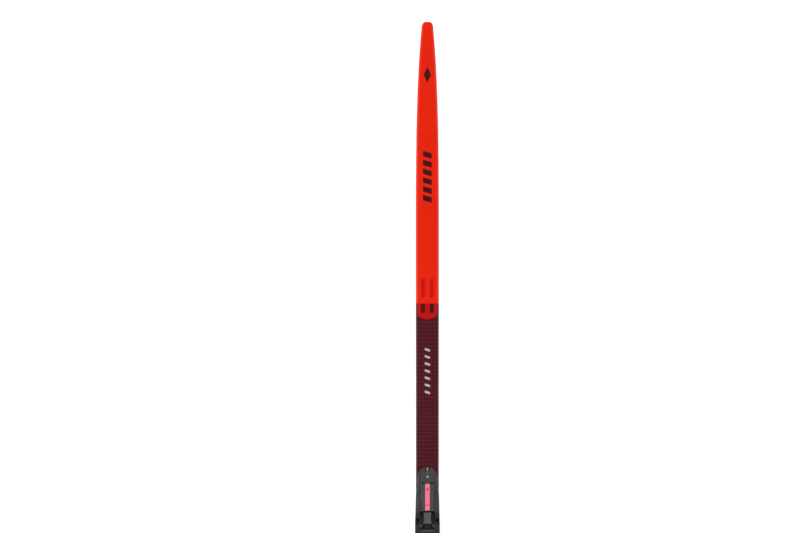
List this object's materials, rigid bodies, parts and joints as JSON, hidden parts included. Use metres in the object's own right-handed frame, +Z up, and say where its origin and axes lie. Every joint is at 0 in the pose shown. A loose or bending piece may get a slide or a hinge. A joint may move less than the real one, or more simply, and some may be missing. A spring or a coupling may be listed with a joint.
{
  "type": "cross country ski",
  "caption": "Racing cross country ski with a layered body, bevelled top edges and a toe-bar binding with a flip-up lever on a sliding rail plate.",
  "frame": {"origin": "on the ground plane under mid-length, on the ski's centre line", "axes": "+X towards the tip, +Y towards the ski's left edge, +Z up"},
  "size_m": [1.88, 0.0468, 0.0509],
  "materials": {
    "running_base": "satin",
    "laminate": "matte",
    "core_wood": "matte",
    "sidewall": "satin",
    "topsheet": "satin",
    "end_plastic": "satin",
    "glass_laminate": "matte",
    "plate_plastic": "satin",
    "housing_plastic": "satin",
    "lever_plastic": "satin",
    "inlay_plastic": "satin",
    "mark_plastic": "matte",
    "flexor_rubber": "matte",
    "pad_rubber": "matte",
    "steel": "satin",
    "dark_steel": "satin",
    "screw_steel": "satin"
  },
  "bodies": {
    "ski": {"base": "running_base", "lower_laminate": "laminate", "core_stringers": "core_wood", "sidewall_left": "sidewall", "sidewall_right": "sidewall", "upper_laminate": "laminate", "topsheet": "topsheet", "tip_spacer": "end_plastic", "tail_protector": "end_plastic", "binding_reinforcement": "glass_laminate", "mounting_plate": "plate_plastic"},
    "binding": {"toe_housing": "housing_plastic", "nose_cover": "housing_plastic", "index_marks": "mark_plastic", "clamp_strip": "steel", "bar_seat": "dark_steel", "flexor": "flexor_rubber", "lever_pin": "steel", "jaw_springs": "steel", "toe_pad": "pad_rubber", "link_strip": "steel", "heel_plate": "housing_plastic", "heel_pad": "pad_rubber"},
    "flip_lever": {"lever": "lever_plastic", "lever_inlay": "inlay_plastic", "crank_pin": "steel"},
    "bar_jaw": {"jaw": "dark_steel"},
    "lock": {"lock_screw": "screw_steel"}
  },
  "joints": [
    {"name": "binding_shift", "type": "slide", "parent": "ski", "child": "binding", "axis": [1, 0, 0], "range_m": [-0.008, 0.008]},
    {"name": "lever_flip", "type": "hinge", "parent": "binding", "child": "flip_lever", "pos_m": [0.019, 0, 0.0471], "axis": [0, -1, 0], "range_deg": [0, 50]},
    {"name": "jaw_slide", "type": "slide", "parent": "binding", "child": "bar_jaw", "axis": [1, 0, 0], "range_m": [0, 0.0034], "deforming": ["jaw_springs"]},
    {"name": "lock_screw_turn", "type": "hinge", "parent": "binding", "child": "lock", "pos_m": [0.081, 0, 0.043], "axis": [0, 0, 1], "range_deg": [0, 180]}
  ],
  "couplings": [
    {"joint": "jaw_slide", "follows": "lever_flip", "m_per_rad": 0.00389}
  ]
}
